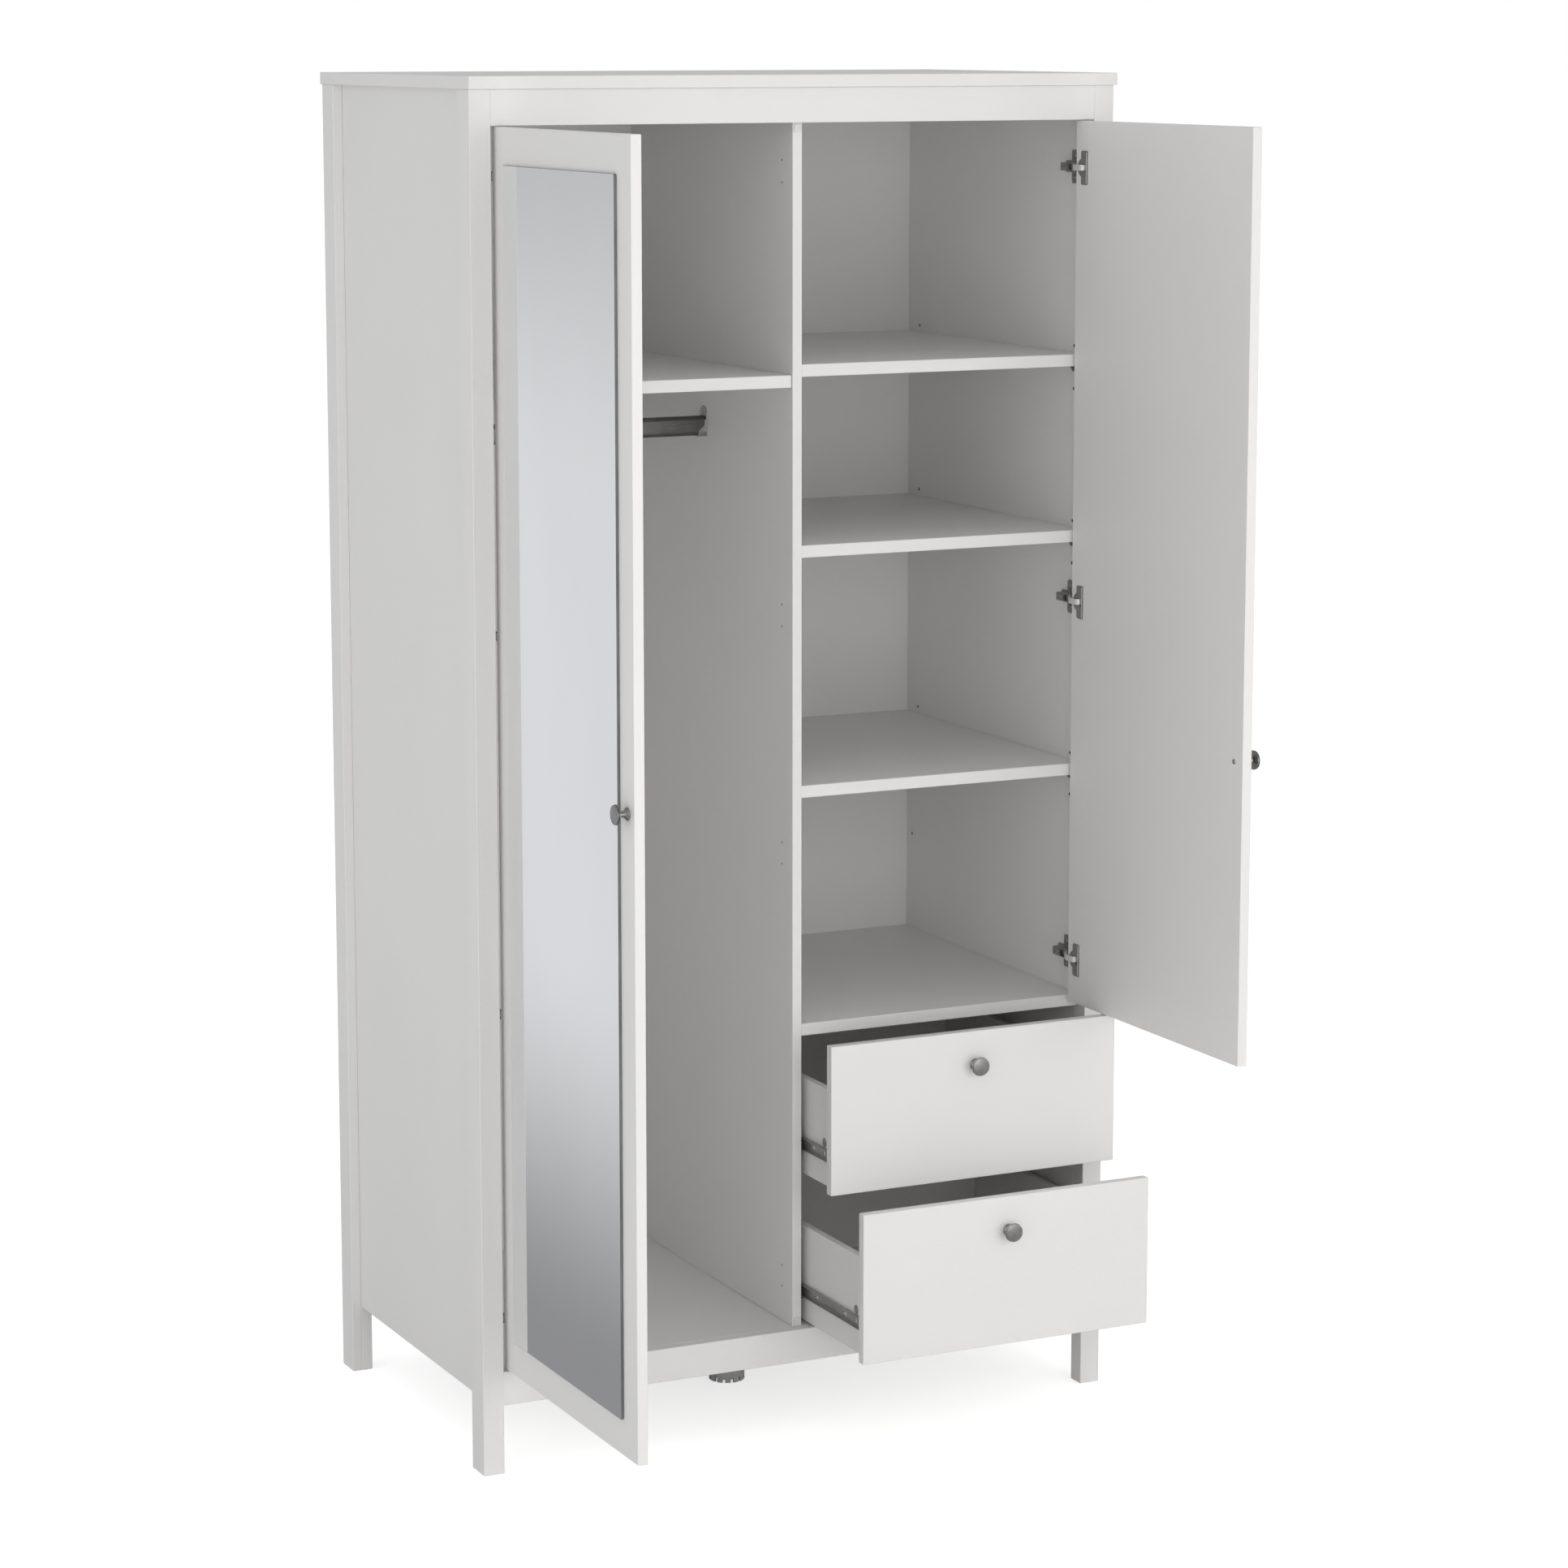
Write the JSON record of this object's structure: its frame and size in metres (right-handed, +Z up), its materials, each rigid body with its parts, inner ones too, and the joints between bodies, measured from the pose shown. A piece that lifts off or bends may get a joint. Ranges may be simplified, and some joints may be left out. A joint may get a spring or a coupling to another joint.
{
  "type": "wardrobe",
  "caption": "White free-standing wardrobe with hinged doors, one mirrored, a hanging bay beside open shelves, and drawers on ball slides.",
  "frame": {"origin": "middle of the underside of the levelling foot under the divider, on the floor", "axes": "+Z up, +X to the right as one faces the doors, the front towards -Y"},
  "size_m": [1.025, 1.0546, 2],
  "materials": {
    "white_board": "white melamine on particle board, satin, very fine pebble grain",
    "thin_board": "white lacquered thin fibreboard, satin",
    "mirror": "silvered glass with a polished edge",
    "knob_metal": "dark brushed nickel",
    "hinge_metal": "dark nickel plate",
    "link_metal": "bright nickel plate",
    "slide_metal": "zinc plate, satin",
    "rail_metal": "dark grey, satin",
    "foot_plastic": "mid-grey moulded plastic"
  },
  "bodies": {
    "cabinet": {"back_panel": "thin_board", "bottom_panel": "white_board", "bottom_rail": "white_board", "divider": "white_board", "fixed_shelf": "white_board", "foot_socket": "foot_plastic", "hanging_rail": "rail_metal", "hat_shelf": "white_board", "left_back_leg": "white_board", "left_front_post": "white_board", "left_lower_hinge_arm": "hinge_metal", "left_side_panel": "white_board", "left_upper_hinge_arm": "hinge_metal", "lower_left_cabinet_slide": "slide_metal", "lower_right_cabinet_slide": "slide_metal", "lower_shelf": "white_board", "middle_shelf": "white_board", "right_back_leg": "white_board", "right_front_post": "white_board", "right_lower_hinge_arm": "hinge_metal", "right_middle_hinge_arm": "hinge_metal", "right_side_panel": "white_board", "right_upper_hinge_arm": "hinge_metal", "top_panel": "white_board", "top_rail": "white_board", "upper_left_cabinet_slide": "slide_metal", "upper_right_cabinet_slide": "slide_metal", "upper_shelf": "white_board"},
    "left_door": {"left_door": "white_board", "left_door_knob": "knob_metal", "left_lower_hinge_cup": "hinge_metal", "left_upper_hinge_cup": "hinge_metal", "mirror": "mirror"},
    "left_door_links": {"left_lower_hinge_link": "link_metal", "left_upper_hinge_link": "link_metal"},
    "right_door": {"right_door": "white_board", "right_door_knob": "knob_metal", "right_lower_hinge_cup": "hinge_metal", "right_middle_hinge_cup": "hinge_metal", "right_upper_hinge_cup": "hinge_metal"},
    "right_door_links": {"right_lower_hinge_link": "link_metal", "right_middle_hinge_link": "link_metal", "right_upper_hinge_link": "link_metal"},
    "upper_drawer": {"upper_drawer_back": "white_board", "upper_drawer_bottom": "thin_board", "upper_drawer_front": "white_board", "upper_drawer_knob": "knob_metal", "upper_drawer_left_side": "white_board", "upper_drawer_right_side": "white_board", "upper_left_drawer_slide": "slide_metal", "upper_right_drawer_slide": "slide_metal"},
    "lower_drawer": {"lower_drawer_back": "white_board", "lower_drawer_bottom": "thin_board", "lower_drawer_front": "white_board", "lower_drawer_knob": "knob_metal", "lower_drawer_left_side": "white_board", "lower_drawer_right_side": "white_board", "lower_left_drawer_slide": "slide_metal", "lower_right_drawer_slide": "slide_metal"},
    "foot": {"centre_foot": "foot_plastic"}
  },
  "joints": [
    {"name": "left_door_hinge", "type": "hinge", "parent": "cabinet", "child": "left_door", "pos_m": [-0.46675, -0.26075, 0], "axis": [0, 0, 1], "range_deg": [-5, 90]},
    {"name": "right_door_hinge", "type": "hinge", "parent": "cabinet", "child": "right_door", "pos_m": [0.46675, -0.26075, 0], "axis": [0, 0, 1], "range_deg": [-91, 4]},
    {"name": "left_link_pivot", "type": "hinge", "parent": "left_door", "child": "left_door_links", "pos_m": [-0.461, -0.2725, 0], "axis": [0, 0, 1], "range_deg": [-74, 4.2]},
    {"name": "right_link_pivot", "type": "hinge", "parent": "right_door", "child": "right_door_links", "pos_m": [0.46121, -0.2726, 0], "axis": [0, 0, 1], "range_deg": [-3.5, 75]},
    {"name": "upper_drawer_slide", "type": "slide", "parent": "cabinet", "child": "upper_drawer", "axis": [0, -1, 0], "range_m": [-0.095, 0.275]},
    {"name": "lower_drawer_slide", "type": "slide", "parent": "cabinet", "child": "lower_drawer", "axis": [0, -1, 0], "range_m": [-0.2, 0.17]},
    {"name": "foot_adjuster", "type": "slide", "parent": "cabinet", "child": "foot", "axis": [0, 0, 1], "range_m": [0, 0.008]}
  ],
  "couplings": [
    {"joint": "left_link_pivot", "follows": "left_door_hinge", "ratio": -0.82},
    {"joint": "right_link_pivot", "follows": "right_door_hinge", "ratio": -0.82}
  ]
}
